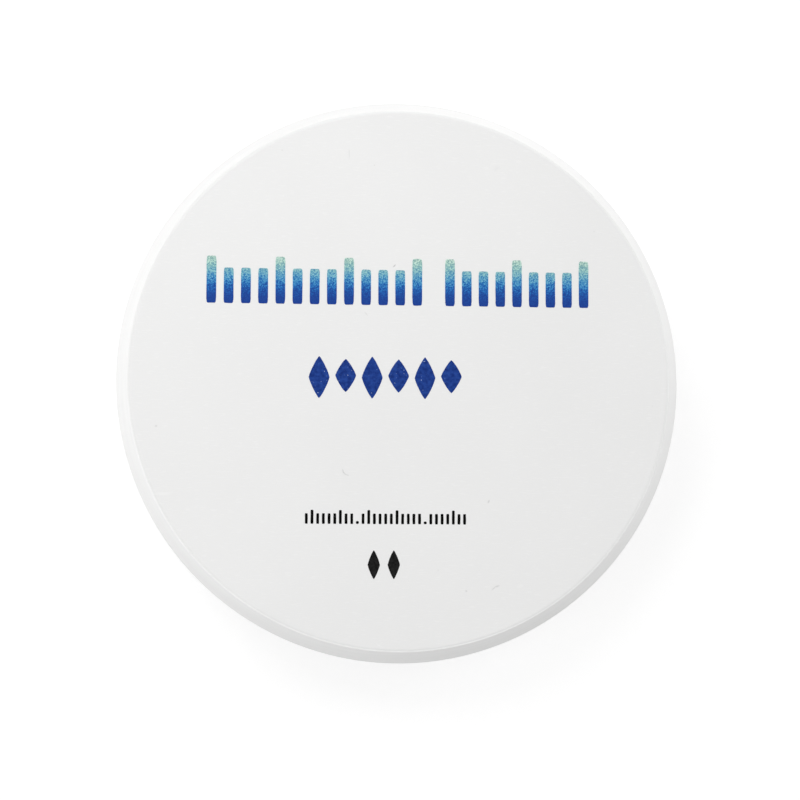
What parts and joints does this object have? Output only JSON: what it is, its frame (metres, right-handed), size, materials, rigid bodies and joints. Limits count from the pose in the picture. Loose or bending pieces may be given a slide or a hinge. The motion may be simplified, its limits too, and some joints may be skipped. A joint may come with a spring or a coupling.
{
  "type": "dental milling disc",
  "caption": "Round white pre-sintered zirconia blank for milling dental crowns and bridges, with a straight clamping rim and a steep bevel around each flat face.",
  "frame": {"origin": "centre of the lower flat face, on the face's own plane", "axes": "+Z along the disc's axis, from the lower face to the printed upper face; +Y towards the top of the print"},
  "size_m": [0.0984, 0.0984, 0.016],
  "materials": {
    "zirconia": "matte"
  },
  "bodies": {
    "root": {"milling_disc": "zirconia"}
  },
  "joints": []
}
